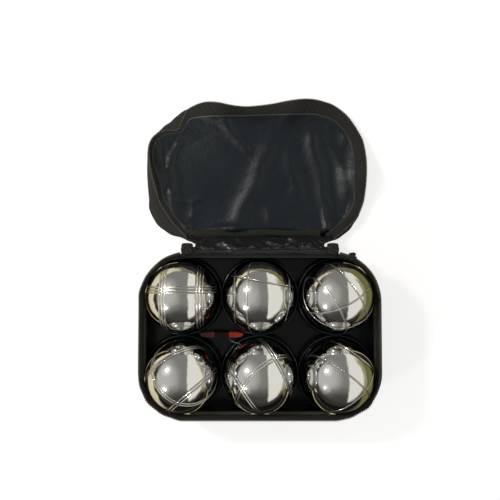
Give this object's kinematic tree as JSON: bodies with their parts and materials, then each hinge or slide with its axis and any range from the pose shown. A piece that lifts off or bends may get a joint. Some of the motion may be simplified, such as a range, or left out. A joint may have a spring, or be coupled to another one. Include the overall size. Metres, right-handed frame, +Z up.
{
  "type": "boule set in zipped case",
  "caption": "Engraved chromed steel boules seated in a moulded tray inside a zipped soft case whose lid folds open on a fabric hinge.",
  "frame": {"origin": "centre of the base's underside, where the case rests", "axes": "+X to the right along a row of boules, +Y from the front of the case towards the open lid, +Z up"},
  "size_m": [0.2462, 0.3353, 0.0769],
  "materials": {
    "case_fabric": "woven polyester laminated to a moulded backing, brownish black",
    "hinge_fabric": "plain woven strip",
    "piping": "woven cord cover, matt",
    "zip_tape": "ribbed woven tape",
    "zip_teeth": "moulded nylon, satin",
    "tray_plastic": "vacuum-formed sheet, glossy near black",
    "stiffener_board": "grey board, hidden",
    "lining_film": "coated cloth with a creased shine, dark blue grey",
    "boule_chrome": "polished plate over steel, engraved lines",
    "boule_filling": "cast mortar filling, hidden",
    "winder_plastic": "moulded red plastic",
    "measuring_cord": "braided dark cord",
    "slider_metal": "black painted die-cast zinc"
  },
  "bodies": {
    "base": {"base_shell": "case_fabric", "base_board": "stiffener_board", "base_piping": "piping", "base_zip_tape": "zip_tape", "base_zip_teeth": "zip_teeth", "tray": "tray_plastic", "hinge_strip": "hinge_fabric", "zip_end_left": "zip_tape", "zip_end_right": "zip_tape"},
    "lid": {"lid_shell": "case_fabric", "lid_board": "stiffener_board", "lid_lining": "lining_film", "lid_piping": "piping", "lid_zip_tape": "zip_tape", "lid_zip_teeth": "zip_teeth", "spine_wall": "hinge_fabric", "spine_lining": "lining_film"},
    "boule_back_left": {"shell_top_back_left": "boule_chrome", "shell_bottom_back_left": "boule_chrome", "core_back_left": "boule_filling"},
    "boule_back_middle": {"shell_top_back_middle": "boule_chrome", "shell_bottom_back_middle": "boule_chrome", "core_back_middle": "boule_filling"},
    "boule_back_right": {"shell_top_back_right": "boule_chrome", "shell_bottom_back_right": "boule_chrome", "core_back_right": "boule_filling"},
    "boule_front_left": {"shell_top_front_left": "boule_chrome", "shell_bottom_front_left": "boule_chrome", "core_front_left": "boule_filling"},
    "boule_front_middle": {"shell_top_front_middle": "boule_chrome", "shell_bottom_front_middle": "boule_chrome", "core_front_middle": "boule_filling"},
    "boule_front_right": {"shell_top_front_right": "boule_chrome", "shell_bottom_front_right": "boule_chrome", "core_front_right": "boule_filling"},
    "winder": {"cord_winder": "winder_plastic", "cord_core": "measuring_cord", "cord_winding": "measuring_cord"},
    "slider": {"zip_slider": "slider_metal"},
    "pull": {"zip_pull": "slider_metal"}
  },
  "joints": [
    {"name": "lid_hinge", "type": "hinge", "parent": "base", "child": "lid", "pos_m": [0, 0.0838, 0.0408], "axis": [-1, 0, 0], "range_deg": [-180, 0]},
    {"name": "lift_back_left", "type": "slide", "parent": "base", "child": "boule_back_left", "axis": [0, 0, 1], "range_m": [0, 0.09]},
    {"name": "lift_back_middle", "type": "slide", "parent": "base", "child": "boule_back_middle", "axis": [0, 0, 1], "range_m": [0, 0.09]},
    {"name": "lift_back_right", "type": "slide", "parent": "base", "child": "boule_back_right", "axis": [0, 0, 1], "range_m": [0, 0.09]},
    {"name": "lift_front_left", "type": "slide", "parent": "base", "child": "boule_front_left", "axis": [0, 0, 1], "range_m": [0, 0.09]},
    {"name": "lift_front_middle", "type": "slide", "parent": "base", "child": "boule_front_middle", "axis": [0, 0, 1], "range_m": [0, 0.09]},
    {"name": "lift_front_right", "type": "slide", "parent": "base", "child": "boule_front_right", "axis": [0, 0, 1], "range_m": [0, 0.09]},
    {"name": "lift_winder", "type": "slide", "parent": "base", "child": "winder", "axis": [0, 0, 1], "range_m": [0, 0.06]},
    {"name": "slider_run", "type": "hinge", "parent": "base", "child": "slider", "pos_m": [0.071, 0.033, 0.055], "axis": [0, 0, 1], "range_deg": [-56, 0]},
    {"name": "pull_swing", "type": "hinge", "parent": "slider", "child": "pull", "pos_m": [0.09347, 0.08103, 0.0543], "axis": [0.9058, -0.4237, 0], "range_deg": [0, 110]}
  ]
}
